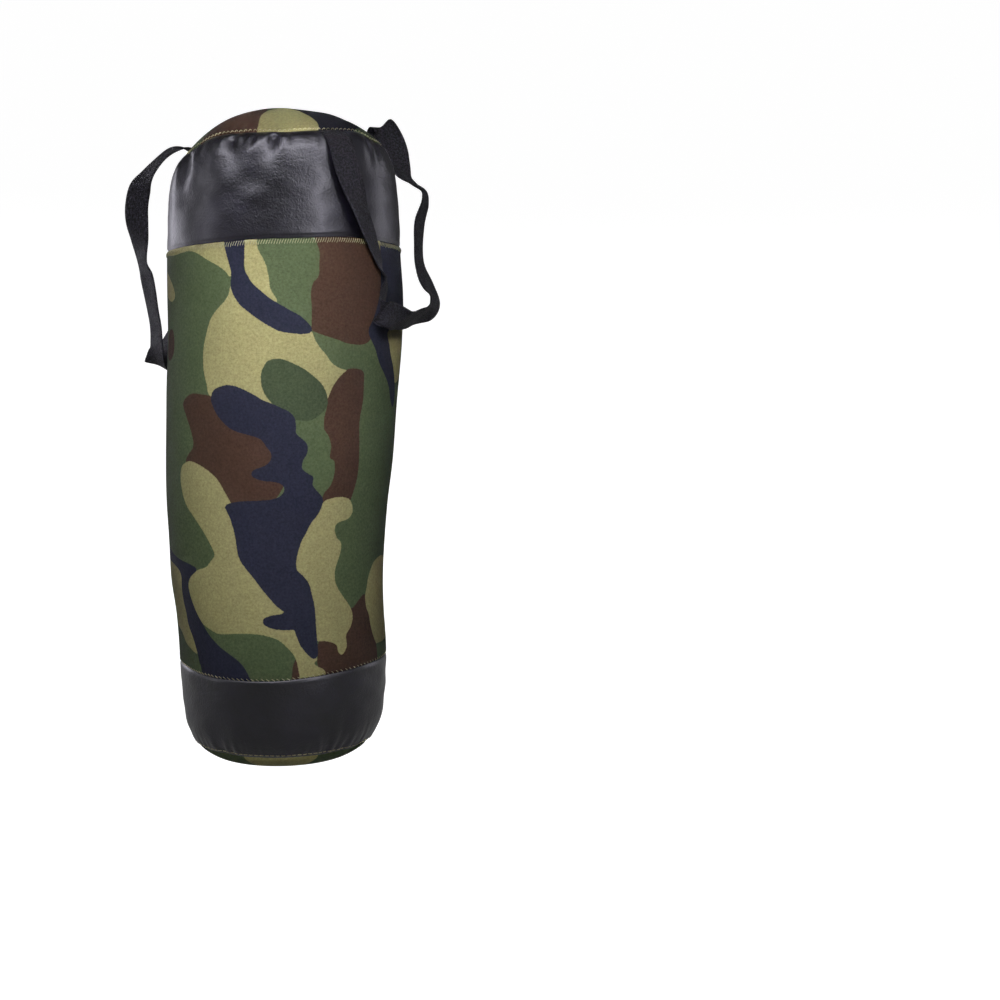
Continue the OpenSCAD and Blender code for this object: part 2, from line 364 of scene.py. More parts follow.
TAN = [
    [(-104, 368), (-106, 353), (-85, 349), (-68, 347.5), (-58, 348.5), (-52, 349), (-45.5, 347),
     (-39, 342.5), (-32.5, 338), (-28.5, 334), (-26.5, 331), (-23, 336), (-22, 350), (-22, 368)],
    [(-20, 368), (-19.5, 345), (-18, 330), (-12, 320), (-6, 314), (-4.5, 316), (-7.5, 323.5),
     (-8, 330), (-9, 337.5), (-10.5, 343), (-13, 351), (-13, 368)],
    [(-26.5, 325), (-27.5, 320), (-30, 315), (-34.5, 309.5), (-38.5, 303), (-41, 294),
     (-42.5, 286), (-42.5, 277.5), (-41.5, 269), (-39.5, 261.5), (-37, 253.5), (-28, 255),
     (-16, 251), (-5, 246), (10, 246), (20, 251), (23, 259.5), (25.5, 265), (28.5, 269.5),
     (31, 272), (27.5, 272.5), (22.5, 276), (19.5, 281), (16, 286), (13.5, 291), (11, 297),
     (3, 301), (-6, 306), (-14, 313), (-20, 322), (-24, 328)],
    [(-56.5, 199), (-55.5, 206), (-51.5, 209.5), (-47, 210), (-40.5, 207), (-35, 203),
     (-31, 198.5), (-27, 191), (-23.5, 184), (-14, 165), (-6, 140), (2, 118), (6, 106),
     (8, 96), (11, 90), (15, 84), (18, 79), (16, 76), (18, 73.5), (22, 70), (23, 58), (8, 58),
     (8, 67.5), (7.5, 71.5), (7, 76), (5.5, 82), (2.5, 87), (-1.5, 92), (-6, 94.5), (-11, 96),
     (-18.5, 96.5), (-25.5, 96), (-34.5, 95), (-38.5, 96.5), (-43, 99), (-46, 101.5),
     (-49, 107), (-51.5, 114), (-53, 121), (-53, 127), (-50.5, 132), (-46, 136.5),
     (-38.5, 140), (-36, 143.5), (-33, 148), (-34, 152.5), (-37.5, 160), (-41, 166.5),
     (-46, 174), (-51, 181), (-55, 190.5)],
    [(-96, 136), (-85, 140), (-72, 139), (-63, 136), (-60, 131), (-61.5, 122), (-62, 114),
     (-61, 106), (-60, 98), (-56, 89), (-53, 79), (-60, 81.5), (-66, 85), (-72, 91),
     (-85, 95), (-98, 102), (-102, 120)],
    [(-92, 336), (-84, 338), (-76, 333), (-69, 325), (-68, 319), (-74, 317), (-84, 322), (-93, 328)],
    [(22, 184), (25.5, 186.5), (31, 187.5), (36.5, 186), (39.5, 181.5), (40, 176.5),
     (37.5, 172.5), (33.5, 171), (30.5, 169.5), (29.5, 165.5), (31, 160), (33.5, 156.5),
     (33.5, 150.5), (32, 144.5), (30.5, 138.5), (30.5, 131.5), (32, 126), (36, 118.5),
     (39.5, 112.5), (41, 106.5), (40, 100.5), (37.5, 96), (35.5, 93), (35.5, 86), (34, 82),
     (32, 80), (30, 82.5), (29.5, 86.5), (27, 89), (22.5, 90.5), (18.5, 91), (15, 95),
     (15, 110), (12, 125), (6, 140), (9, 155), (16, 172)],
    [(62.5, 141), (58, 136), (55, 130), (53, 122.5), (51.5, 117.5), (52, 110), (54, 104),
     (55, 96.5), (57, 89), (59.5, 84), (62, 83), (80, 84), (95, 92), (98, 115), (88, 136),
     (74, 143)],
    [(56, 300), (59, 292), (62, 284), (67, 274), (71, 264), (80, 268), (88, 280), (86, 294),
     (76, 301), (65, 303)],
    [(45, 366), (46, 356), (50, 352), (54, 356), (56, 366)],
    [(98, 366), (96, 352), (104, 344), (112, 350), (118, 358), (118, 366)],
    [(104, 322), (112, 332), (124, 338), (138, 334), (150, 322), (160, 318), (166, 306),
     (160, 296), (150, 298), (143, 288), (132, 282), (121, 288), (118, 300), (108, 308)],
    [(112, 168), (122, 178), (136, 180), (150, 172), (166, 172), (172, 160), (164, 148),
     (156, 140), (154, 124), (146, 112), (134, 104), (122, 106), (116, 118), (122, 130),
     (120, 144), (110, 154)],
    [(166, 228), (176, 234), (188, 228), (188, 204), (178, 196), (168, 206)],
    [(-152, 298), (-142, 308), (-128, 306), (-114, 300), (-104, 288), (-98, 274),
     (-100, 258), (-110, 250), (-122, 254), (-130, 264), (-142, 268), (-154, 276),
     (-160, 288)],
    [(-176, 204), (-164, 212), (-150, 208), (-142, 196), (-138, 182), (-126, 172),
     (-112, 170), (-102, 162), (-104, 152), (-116, 148), (-132, 142), (-146, 148),
     (-156, 162), (-168, 172), (-178, 188)],
    [(-132, 112), (-122, 120), (-114, 112), (-110, 98), (-114, 86), (-124, 80), (-134, 86),
     (-140, 98)],
    [(-188, 152), (-176, 150), (-170, 140), (-176, 128), (-188, 126)],
]
LEAF = [
    [(-5.5, 250), (-8.5, 255), (-10.5, 261.5), (-11, 268), (-10, 273), (-8, 277), (-4, 278.5),
     (0, 277.5), (4.5, 275), (9.5, 271.5), (13.5, 267.5), (17, 263.5), (19.5, 259), (21, 254),
     (20.5, 246), (12, 238), (0, 242)],
    [(128, 320), (136, 326), (146, 318), (142, 304), (134, 298), (128, 306)],
    [(132, 158), (142, 164), (150, 154), (144, 142), (133, 146)],
    [(-136, 290), (-126, 296), (-116, 288), (-114, 274), (-124, 270), (-134, 278)],
    [(-162, 198), (-154, 202), (-148, 192), (-154, 182), (-164, 186)],
]
NAVY = [
    [(-29.5, 366), (-29, 354), (-28.5, 348), (-27, 340), (-26, 333), (-26.5, 325), (-25, 319),
     (-22, 313), (-18, 308.5), (-12.5, 303), (-7.5, 299), (-3, 296), (2.5, 295), (7, 294.5),
     (11.5, 296), (11, 300), (7, 305.5), (2.5, 309), (-2, 312.5), (-7.5, 317), (-11.5, 321.5),
     (-15.5, 326.5), (-18, 332), (-19.5, 337), (-19, 345), (-19.5, 366)],
    [(-36.5, 253), (-35.5, 257), (-32.5, 259.5), (-28, 261), (-24, 260.5), (-19.5, 258.5),
     (-14, 255), (-9.5, 251.5), (-5.5, 249.5), (-1.5, 247), (2.5, 244.5), (5.5, 240.5),
     (6.5, 235), (6.5, 230.5), (8.5, 227.5), (11.5, 224), (12.5, 220), (12, 216),
     (10.5, 212.5), (10.2, 207), (13.5, 203.5), (16, 201), (16, 196), (18.5, 192),
     (21, 188.5), (22, 185.5), (21.5, 181), (19.5, 175.5), (16.5, 170.5), (14, 163.5),
     (12, 158.5), (10.5, 152), (9.5, 145), (10, 139.5), (13, 135.5), (16, 130), (17.5, 122),
     (18.5, 113.5), (18.5, 99), (18.5, 85), (18, 80.5), (16, 79), (13.5, 81), (11, 85),
     (9, 89), (7.5, 95), (6.5, 99), (3, 99), (-2, 99.5), (-6.5, 101), (-9, 103.5),
     (-8.5, 107), (-4.5, 109), (0.5, 110), (2.5, 111), (-1, 115), (-5, 121.5), (-9, 128.5),
     (-12, 134), (-16, 140.5), (-18.5, 145), (-20, 150.5), (-21, 160), (-22, 166),
     (-23.5, 172.5), (-26, 179), (-26.5, 181.5), (-24, 183.5), (-18, 185), (-11.5, 185.5),
     (-6, 186), (-2, 187), (1, 189), (2.5, 192.5), (1.5, 196), (-2, 198), (-6.5, 198.5),
     (-10, 199.5), (-13.5, 202), (-13, 205.5), (-9.5, 207.5), (-6.5, 209.5), (-4.5, 213.5),
     (-5, 217.5), (-7, 221), (-10, 226), (-15.5, 228.5), (-20, 230), (-25, 232.5),
     (-29, 236.5), (-33, 242), (-36, 249)],
    [(-112, 150), (-100, 153), (-85, 150), (-75, 148), (-66, 145), (-58, 142.5), (-50, 140.5),
     (-45, 137.5), (-50.5, 132), (-53, 127), (-53, 121), (-51.5, 114), (-49, 107),
     (-46, 101.5), (-41, 93), (-34.5, 86), (-27.5, 80.5), (-22, 75), (-18.5, 67), (-18, 58),
     (-50, 58), (-50, 68), (-52, 74), (-53, 79), (-56, 89), (-60, 98), (-61, 106),
     (-62, 114), (-61.5, 122), (-60, 131), (-63, 136), (-72, 139), (-85, 140), (-98, 141),
     (-108, 142)],
    # Top right, beside the right loop: partly the real navy band running down to the right, and partly
    # painted shadow above about 300 mm, where the loop's turn shades the cloth.
    [(55, 366), (52, 345), (50, 325), (46, 308), (42.5, 297.5), (48, 286.5), (52, 277),
     (58, 268.5), (63, 261), (67, 252), (72, 247), (74, 254), (71, 264), (67.5, 272.5),
     (63, 281.5), (60.5, 289.5), (58, 298), (66, 304), (78, 308), (88, 318), (92, 335),
     (94, 366)],
    [(112, 262), (120, 270), (132, 272), (146, 278), (160, 274), (172, 262), (176, 248),
     (168, 240), (158, 238), (150, 226), (156, 212), (160, 198), (150, 186), (138, 184),
     (128, 192), (130, 206), (136, 218), (130, 232), (118, 240), (108, 248)],
    [(98, 112), (106, 122), (112, 112), (114, 98), (122, 86), (134, 80), (150, 78),
     (162, 70), (164, 56), (100, 56), (97, 80)],
    [(150, 340), (158, 350), (172, 352), (188, 346), (188, 330), (172, 330), (162, 326)],
    [(-178, 332), (-168, 344), (-150, 352), (-130, 350), (-112, 344), (-98, 336),
     (-96, 326), (-108, 320), (-124, 326), (-138, 324), (-148, 312), (-160, 304),
     (-172, 312)],
    [(-156, 244), (-144, 252), (-130, 248), (-120, 238), (-108, 226), (-98, 214),
     (-92, 198), (-96, 186), (-106, 184), (-114, 194), (-124, 202), (-132, 214),
     (-144, 216), (-156, 226)],
    [(-188, 88), (-170, 90), (-156, 82), (-144, 74), (-132, 70), (-130, 56), (-188, 56)],
]
# The round end panels, as (x, y) in mm.
DOME_BROWN = [
    [(-17.5, -82), (-16.5, -62), (-15, -50), (-11, -38), (-13, -20), (-30, -12), (-46, -28),
     (-57, -44), (-58, -64), (-40, -80)],
    [(20, 10), (38, 16), (44, 34), (34, 52), (20, 50), (22, 32)],
]
DOME_TAN = [
    [(-17.5, -82), (-16.5, -62), (-15, -50), (-11.5, -42), (-6, -36), (2, -34), (9, -38),
     (13.5, -46), (19, -54), (22.5, -62), (22.5, -82)],
    [(44, -58), (52, -52), (58, -54), (62, -70), (46, -74)],
    [(-50, 0), (-34, 8), (-24, 24), (-30, 42), (-48, 44), (-60, 24)],
]
DOME_NAVY = [
    [(-4, -14), (0, -28), (9, -37.5), (13.5, -46), (19, -54), (22.5, -62), (22.5, -82),
     (44, -78), (43, -60), (48, -44), (50, -24), (34, -8), (12, -4)],
    [(-30, -4), (-12, 2), (0, 12), (8, 24), (-4, 34), (-18, 22), (-34, 10)],
    [(-10, 46), (6, 48), (12, 62), (0, 80), (-16, 72)],
]
BASE_TAN = [
    [(-30, -70), (-24, -50), (-4, -42), (18, -50), (26, -70)],
    [(-20, 20), (0, 28), (8, 48), (-12, 56), (-30, 40)],
]
BASE_BROWN = [[(28, -40), (48, -30), (52, -6), (36, 4), (24, -14)]]
BASE_NAVY = [[(-70, -20), (-46, -28), (-30, -14), (-34, 10), (-56, 18), (-72, 6)]]


PRINT_REACH = 12.0


def rounded(outline, steps=4):
    """A closed outline with its corners drawn as smooth curves."""
    p = np.array(outline, float)
    t = (np.arange(steps) / steps)[:, None, None]
    q = spline(np.roll(p, 1, 0), p, np.roll(p, -1, 0), np.roll(p, -2, 0), t)
    return q.transpose(1, 0, 2).reshape(-1, 2)


def reach_inside(points, outline):
    """How deep each point lies inside the outline, in mm; negative outside."""
    depth = np.full(len(points), -PRINT_REACH)
    lo, hi = outline.min(0) - PRINT_REACH, outline.max(0) + PRINT_REACH
    near = np.nonzero(np.all((points > lo) & (points < hi), 1))[0]
    if not len(near):
        return depth
    p = points[near]
    best = np.full(len(p), PRINT_REACH**2)
    inside = np.zeros(len(p), bool)
    for a, b in zip(outline, np.roll(outline, -1, 0)):
        d = b - a
        t = np.clip(((p - a) @ d) / max(d @ d, 1e-9), 0, 1)
        gap = p - a - t[:, None] * d
        best = np.minimum(best, np.einsum("ij,ij->i", gap, gap))
        if a[1] != b[1]:
            cross = ((a[1] > p[:, 1]) != (b[1] > p[:, 1]))
            inside ^= cross & (p[:, 0] < a[0] + (p[:, 1] - a[1]) * d[0] / d[1])
    gap = np.sqrt(best)
    depth[near] = np.where(inside, gap, -gap)
    return depth


def print_camo(obj, points, patches, stretch=(1.0, 1.0)):
    """Stores, for each colour, how deep each vertex lies in that colour's patches."""
    for name, outlines in patches.items():
        depth = np.full(len(points), -PRINT_REACH)
        for outline in outlines:
            drawn = rounded(np.array(outline) * np.array(stretch))
            depth = np.maximum(depth, reach_inside(points, drawn))
        put(obj, name, depth)


# ---- materials
class Net:
    """A material's node tree, written in short steps."""

    def __init__(self, name):
        self.material = bpy.data.materials.new(name)
        self.material.use_nodes = True
        self.tree = self.material.node_tree
        self.shader = self.tree.nodes["Principled BSDF"]
        self.place = self.node("TexCoord").outputs["Object"]

    def node(self, kind, inputs=None, **settings):
        n = self.tree.nodes.new("ShaderNode" + kind)
        for key, value in settings.items():
            setattr(n, key, value)
        for key, value in (inputs or {}).items():
            self.feed(n.inputs[key], value)
        return n

    def feed(self, socket, value):
        if isinstance(value, bpy.types.NodeSocket):
            self.tree.links.new(value, socket)
        else:
            socket.default_value = value

    def math(self, op, a, b=0.0, c=0.0):
        return self.node("Math", {0: a, 1: b, 2: c}, operation=op).outputs[0]

    def plus(self, a, b):
        return self.math("ADD", a, b)

    def times(self, a, b):
        return self.math("MULTIPLY", a, b)

    def wave(self, value, pitch):
        return self.math("SINE", self.times(value, 2 * math.pi / pitch))

    def attribute(self, name, output="Fac"):
        return self.node("Attribute", attribute_name=name).outputs[output]

    def noise(self, vector, scale, detail=2.0, rough=0.5):
        return self.node("TexNoise", {"Vector": vector, "Scale": scale, "Detail": detail,
                                      "Roughness": rough}).outputs["Fac"]

    def step(self, value, low, high, a=0.0, b=1.0):
        return self.node("MapRange", {"Value": value, "From Min": low, "From Max": high,
                                      "To Min": a, "To Max": b},
                         interpolation_type="SMOOTHSTEP").outputs["Result"]

    def mix(self, factor, a, b, blend="MIX"):
        n = self.node("Mix", data_type="RGBA", blend_type=blend)
        self.feed(n.inputs[0], factor)
        self.feed(n.inputs[6], a)
        self.feed(n.inputs[7], b)
        return n.outputs[2]

    def shaded(self, colour, shade):
        return self.mix(1.0, colour, self.vector(shade, shade, shade), "MULTIPLY")

    def vector(self, x, y, z=0.0):
        return self.node("CombineXYZ", {"X": x, "Y": y, "Z": z}).outputs[0]

    def parts_of(self, vector):
        return self.node("SeparateXYZ", {0: vector}).outputs

    def unrolled(self):
        """The cloth's own coordinates: metres round the bag and metres up."""
        xyz = self.parts_of(self.place)
        angle = self.math("ARCTAN2", xyz["X"], self.times(xyz["Y"], -1.0))
        return self.times(angle, MEAN_R * MM), xyz["Z"]

    def bump(self, height, strength, distance, normal=None):
        values = {"Height": height, "Strength": strength, "Distance": distance}
        if normal is not None:
            values["Normal"] = normal
        return self.node("Bump", values).outputs[0]

    def set(self, **inputs):
        for key, value in inputs.items():
            self.feed(self.shader.inputs[key.replace("_", " ")], value)
        return self.material


def rgb(r, g, b):
    """Display colour, 0 to 255, as the linear colour that a shader takes."""
    return tuple((v / 255 / 12.92) if v <= 10 else ((v / 255 + 0.055) / 1.055)**2.4
                 for v in (r, g, b)) + (1.0,)


# In metres: the cloth's threads, and the webbing's ribs and picks.
THREAD_PITCH, RIB_PITCH, PICK_PITCH = 0.00052, 0.0011, 0.0009


def camo_cloth(name, flat=False):
    """The printed cloth; a flat one is laid out over (x, y) instead of round the bag."""
    net = Net(name)
    if flat:
        navy = (rgb(28, 28, 37), rgb(38, 38, 49))
        xyz = net.parts_of(net.place)
        u, v = xyz["X"], xyz["Y"]
    else:
        navy = (rgb(40, 42, 57), rgb(50, 52, 68))
        u, v = net.unrolled()
    fuzz = net.math("MULTIPLY_ADD", net.noise(net.place, 900.0, 1.0), 0.7, -0.35)
    drift = net.noise(net.place, 14.0, 3.0)
    colour = net.mix(drift, rgb(80, 92, 66), rgb(92, 104, 75))
    for layer, dark, light in (("brown", rgb(70, 52, 43), rgb(84, 63, 52)),
                               ("tan", rgb(156, 149, 104), rgb(172, 165, 117)),
                               ("leaf", rgb(64, 73, 55), rgb(76, 87, 65)),
                               ("navy",) + navy):
        edge = net.plus(net.attribute(layer), fuzz)
        colour = net.mix(net.step(edge, -0.28, 0.28), colour, net.mix(drift, dark, light))
    weave = net.times(net.wave(u, THREAD_PITCH), net.wave(v, THREAD_PITCH))
    fleck = net.noise(net.vector(net.times(u, 0.35), v), 2600.0, 1.0)
    slub = net.noise(net.vector(u, net.times(v, 9.0)), 130.0, 2.0)
    speck = net.noise(net.place, 640.0, 2.0, 0.7)
    shade = net.math("MULTIPLY_ADD", weave, 0.07, 0.80)
    shade = net.plus(shade, net.times(fleck, 0.28))
    shade = net.plus(shade, net.times(slub, 0.12))
    shade = net.plus(shade, net.math("SUBTRACT", speck, 0.5))
    wear = net.noise(net.place, 60.0, 4.0, 0.6)
    lift = net.plus(net.times(weave, 0.5), net.times(fleck, 0.9))
    normal = net.bump(lift, 0.35, 0.00018)
    normal = net.bump(speck, 0.30, 0.0005, normal)
    normal = net.bump(slub, 0.12, 0.0006, normal)
    return net.set(Base_Color=net.shaded(colour, shade),
                   Roughness=net.step(wear, 0.2, 0.8, 0.72, 0.9), Specular_IOR_Level=0.08,
                   Sheen_Weight=0.02, Sheen_Roughness=0.5, Normal=normal)


def black_vinyl(name):
    net = Net(name)
    u, v = net.unrolled()
    shake = [net.times(net.noise(net.place, scale, 2.0), 0.004) for scale in (260.0, 310.0, 280.0)]
    warp = net.node("VectorMath", {0: net.place, 1: net.vector(*shake)}, operation="ADD").outputs[0]
    pebble = net.node("TexVoronoi", {"Vector": warp, "Scale": 760.0}, feature="SMOOTH_F1")
    cracks = net.node("TexVoronoi", {"Vector": warp, "Scale": 330.0}, feature="DISTANCE_TO_EDGE")
    crack = net.step(cracks.outputs["Distance"], 0.0, 0.16)
    creases = net.noise(net.vector(net.times(u, 0.55), v), 300.0, 5.0, 0.62)
    swell = net.noise(net.vector(net.times(u, 0.6), v, 3.0), 70.0, 3.0, 0.5)
    dust = net.noise(net.place, 35.0, 4.0, 0.6)
    colour = net.mix(net.step(dust, 0.35, 0.75), rgb(10, 9, 16), rgb(20, 18, 30))
    normal = net.bump(pebble.outputs["Distance"], 0.40, 0.0004)
    normal = net.bump(crack, 0.10, 0.0003, normal)
    normal = net.bump(creases, 0.38, 0.0007, normal)
    normal = net.bump(swell, 0.22, 0.0012, normal)
    rough = net.plus(net.step(dust, 0.2, 0.8, 0.30, 0.40), net.times(creases, 0.10))
    return net.set(Base_Color=colour, Roughness=rough, Specular_IOR_Level=0.6,
                   Coat_Weight=0.15, Coat_Roughness=0.22, Normal=normal)


def webbing_material(name):
    """Ribbed black webbing; its mesh carries metres along it, metres across it."""
    net = Net(name)
    lay = net.attribute("lay", "Vector")
    xyz = net.parts_of(lay)
    weave = net.times(net.wave(xyz["Y"], RIB_PITCH), net.wave(xyz["X"], PICK_PITCH))
    fibre = net.noise(net.vector(net.times(xyz["X"], 0.3), xyz["Y"]), 2400.0, 2.0)
    height = net.plus(weave, net.times(fibre, 1.4))
    lint = net.noise(lay, 160.0, 3.0, 0.6)
    speck = net.noise(lay, 700.0, 2.0, 0.7)
    colour = net.mix(net.step(speck, 0.38, 0.66), rgb(9, 8, 12), rgb(50, 48, 58))
    shade = net.math("MULTIPLY_ADD", height, 0.12, 0.92)
    return net.set(Base_Color=net.shaded(colour, shade),
                   Roughness=net.step(lint, 0.2, 0.8, 0.55, 0.75),
                   Specular_IOR_Level=0.18, Sheen_Weight=0.03, Sheen_Roughness=0.4,
                   Normal=net.bump(speck, 0.7, 0.0008, net.bump(height, 0.6, 0.0003)))


def thread_material(name, dark, light):
    net = Net(name)
    twist = net.noise(net.place, 1600.0, 3.0, 0.6)
    return net.set(Base_Color=net.mix(net.step(twist, 0.3, 0.7), dark, light),
                   Roughness=net.step(twist, 0.2, 0.8, 0.5, 0.75), Sheen_Weight=0.2,
                   Normal=net.bump(twist, 0.5, 0.0002))


def wadding_material(name):
    net = Net(name)
    tuft = net.noise(net.place, 120.0, 6.0, 0.7)
    return net.set(Base_Color=net.mix(tuft, rgb(214, 213, 208), rgb(240, 240, 236)),
                   Roughness=net.step(tuft, 0.2, 0.8, 0.85, 1.0), Sheen_Weight=0.3,
                   Normal=net.bump(tuft, 0.8, 0.002))


CAMO = camo_cloth("camo_cloth")
CAMO_END = camo_cloth("camo_cloth_ends", flat=True)
VINYL = black_vinyl("black_vinyl")
WEBBING = webbing_material("black_webbing")
PALE_THREAD = thread_material("pale_thread", rgb(160, 150, 110), rgb(205, 196, 158))
OLIVE_THREAD = thread_material("olive_thread", rgb(120, 118, 84), rgb(168, 162, 120))
BLACK_THREAD = thread_material("black_thread", rgb(14, 14, 16), rgb(30, 30, 33))
WADDING = wadding_material("wadding")
# ---- the cover
def round_grid(columns):
    """Azimuths all round the bag, as one row."""
    return (-180 + 360 * np.arange(columns) / columns)[None, :]


def sleeve(name, low, high, rows, columns, material, lip=(0.0, 0.0)):
    """A cover panel between two seams; lip is how far its two edges stand proud."""
    az = round_grid(columns)
    zn = np.linspace(low, high, rows)[:, None]
    proud = lip[0] * bell(zn - low, 2.5) + lip[1] * bell(high - zn, 2.5)
    return tube_shell(name, side(az, zn, proud), side(az, zn, -SKIN), material), az, zn


body, az, zn = sleeve("camo_body", LOWER_Z, UPPER_Z, 190, 336, CAMO, (0.2, 0.35))
cloth_z = zn + seam_shift(az, zn)
spots = np.stack([np.broadcast_to(az, cloth_z.shape) * ARC, cloth_z], -1).reshape(-1, 2)
print_camo(body, np.concatenate([spots, spots]),
           {"brown": BROWN, "tan": TAN, "leaf": LEAF, "navy": NAVY}, (ARC, 1.0))

top_band = sleeve("vinyl_top_band", UPPER_Z, TOP_Z, 62, 480, VINYL)[0]
bottom_band = sleeve("vinyl_bottom_band", BASE_Z, LOWER_Z, 50, 440, VINYL)[0]


def end_panel(name, surface, rings, columns, patches):
    """A round panel at one end of the bag, never below the floor."""
    az = round_grid(columns)
    f = np.linspace(1, 1.0 / rings, rings)[::-1, None]
    top, top_mid = surface(az, f), surface(0.0, 0.0)
    top[..., 2] = np.maximum(top[..., 2], 0.0)
    top_mid[2] = max(top_mid[2], 0.0)
    under, under_mid = surface(az, f, -SKIN), surface(0.0, 0.0, -SKIN)
    points = np.concatenate([top.reshape(-1, 3), under.reshape(-1, 3), [top_mid], [under_mid]])
    obj = disc_shell(name, points, rings, columns, CAMO_END)
    print_camo(obj, points[:, :2], patches)
    return obj


dome_panel = end_panel("camo_dome", dome, 56, 396,
                       {"brown": DOME_BROWN, "tan": DOME_TAN, "leaf": [], "navy": DOME_NAVY})
base_panel = end_panel("camo_base", base, 46, 330,
                       {"brown": BASE_BROWN, "tan": BASE_TAN, "leaf": [], "navy": BASE_NAVY})


# ---- the stuffing
def stuffing_mesh(gap=1.9, columns=96):
    """A smooth solid, gap mm inside the ends and deeper under the side and its top folds."""
    az = round_grid(columns)
    rings = [base(az, f, -gap, plain=True) for f in (0.25, 0.5, 0.7, 0.85, 0.95)]
    for zn in np.concatenate([[11, 14, 18], np.arange(24, 420, 6), [420, 422]]):
        under_folds = 3.6 * smoothstep((zn - 388) / 12)
        rings.append(side(az, np.array([[zn]]), -gap - 0.9 - under_folds, plain=True))
    rings += [dome(az, f, -gap, plain=True) for f in (0.88, 0.8, 0.7, 0.5, 0.25)]
    rows = len(rings)
    verts = list(np.concatenate(rings).reshape(-1, 3) * MM)
    verts.append(base(0.0, 0.0, -gap, plain=True) * MM)
    verts.append(dome(0.0, 0.0, -gap, plain=True) * MM)
    faces = ring_faces(rows, columns)
    t = (rows - 1) * columns
    for j in range(columns):
        k = (j + 1) % columns
        faces.append((rows * columns, k, j))
        faces.append((rows * columns + 1, t + j, t + k))
    return new_object("stuffing", verts, faces, WADDING)


stuffing = stuffing_mesh()


# ---- the webbing loops
# Each row is a centre in mm and the direction across the webbing.
LEFT_ROWS = [
    (-58, -12.4, 419, -0.208, 0.978, 0), (-63.5, -13.3, 420.4, -0.208, 0.978, 0.05),
    (-68, -14.2, 421.4, -0.208, 0.96, 0.18), (-73.5, -15.6, 420, -0.22, 0.93, 0.3),
    (-79.5, -17, 416, -0.25, 0.92, 0.3),
    (-85.5, -17, 410, -0.4, 0.9, 0.2), (-91.7, -16, 402, -0.6, 0.8, 0.08),
    (-96.5, -15, 393, -0.85, 0.52, 0), (-98.9, -14, 382, -0.88, 0.47, 0),
    (-99.1, -12.5, 371.5, -0.87, 0.48, 0.1), (-97.6, -11.5, 360, -0.7, 0.65, 0.25),
    (-95.7, -10.5, 344, -0.4, 0.91, 0), (-93, -10, 335, -0.53, 0.85, 0),
    (-91, -10, 325, -0.53, 0.85, 0), (-89, -9.5, 312, -0.48, 0.88, 0),
    (-87.2, -9, 301, -0.48, 0.87, 0), (-86.6, -8.5, 291, -0.5, 0.85, 0),
    (-86.6, -6, 281.5, -0.56, 0.8, 0.1), (-87.3, 2.5, 275.5, -0.7, 0.6, 0.25),
    (-87.6, 12.5, 276, -0.78, 0.5, 0.2), (-86.2, 21.5, 281.5, -0.6, 0.78, 0.1),
    (-83.5, 31, 293, -0.35, 0.93, 0), (-77, 42, 311, 0, 1, 0),
    (-68, 53, 333, 0.3, 0.95, 0), (-57.5, 64, 358, 0.5, 0.86, 0),
    (-46.5, 73, 384, 0.7, 0.7, 0), (-35.5, 79, 404, 0.88, 0.47, 0),
    (-28, 79.2, 414.8, 0.94, 0.34, 0), (-25, 74.5, 419.5, 0.95, 0.31, 0),
    (-22.8, 67.8, 418, 0.945, 0.326, 0), (-21, 61.5, 414.5, 0.945, 0.326, 0)]
RIGHT_ROWS = [
    (26.5, -53, 423.5, 0.86, 0.45, 0.12), (29.3, -58.5, 426.5, 0.86, 0.45, 0.12),
    (32, -63.5, 427.3, 0.86, 0.45, 0.14), (36, -68.6, 421.5, 0.88, 0.42, 0.15),
    (38.2, -71.9, 414, 0.88, 0.42, 0.1), (40.2, -74, 405, 0.9, 0.42, 0.05),
    (44.4, -73.2, 392, 0.85, 0.53, 0), (50, -71, 376.4, 0.62, 0.78, -0.1),
    (57.2, -65.5, 358, 0.5, 0.82, -0.27), (63.4, -61, 341.4, 0.33, 0.9, -0.3),
    (67.6, -59.5, 331, 0.1, 0.9, -0.42), (64.4, -68, 318, 0.05, 0.4, -0.9),
    (63.5, -75, 310.5, 0, 0.05, -1), (70, -72.5, 308, 0, 0.2, -0.97),
    (79.6, -60, 305.5, 0.1, 0.93, -0.33), (90, -41, 309, 0.2, 0.97, -0.12),
    (100.5, -25, 315, 0.35, 0.92, -0.08), (104, -14, 323.5, 0.42, 0.9, 0.05),
    (99.3, -8, 335, 0.6, 0.8, 0), (95.2, -4, 347.5, 0.45, 0.88, 0),
    (94.4, -1, 360, 0.4, 0.9, 0), (95.3, 2, 377, 0.45, 0.88, 0),
    (99, 4, 391.5, 0.35, 0.92, 0.1), (98, 6.5, 400, 0.2, 0.95, 0.2),
    (91, 9.5, 405.5, 0.2, 0.95, 0.2), (84.6, 12.5, 411, 0.55, 0.8, 0.2),
    (81.3, 16, 420, 0.85, 0.45, 0.25), (79.3, 19, 430, 0.88, 0.3, 0.35),
    (75, 22.5, 440, 0.84, 0.1, 0.52), (69.9, 26.8, 447.3, 0.84, 0, 0.55),
    (67.5, 30.3, 441, 0.82, -0.2, 0.45), (66, 30.5, 433.5, 0.68, -0.6, 0.3),
    (64.6, 29.2, 426.5, 0.48, -0.87, 0.05),
    (62, 27.5, 420, 0.407, -0.914, 0), (58, 25.5, 413, 0.407, -0.914, 0)]
WEB_W, WEB_T = 18.0, 1.3
WEB_STEPS, WEB_ACROSS = 9, 14


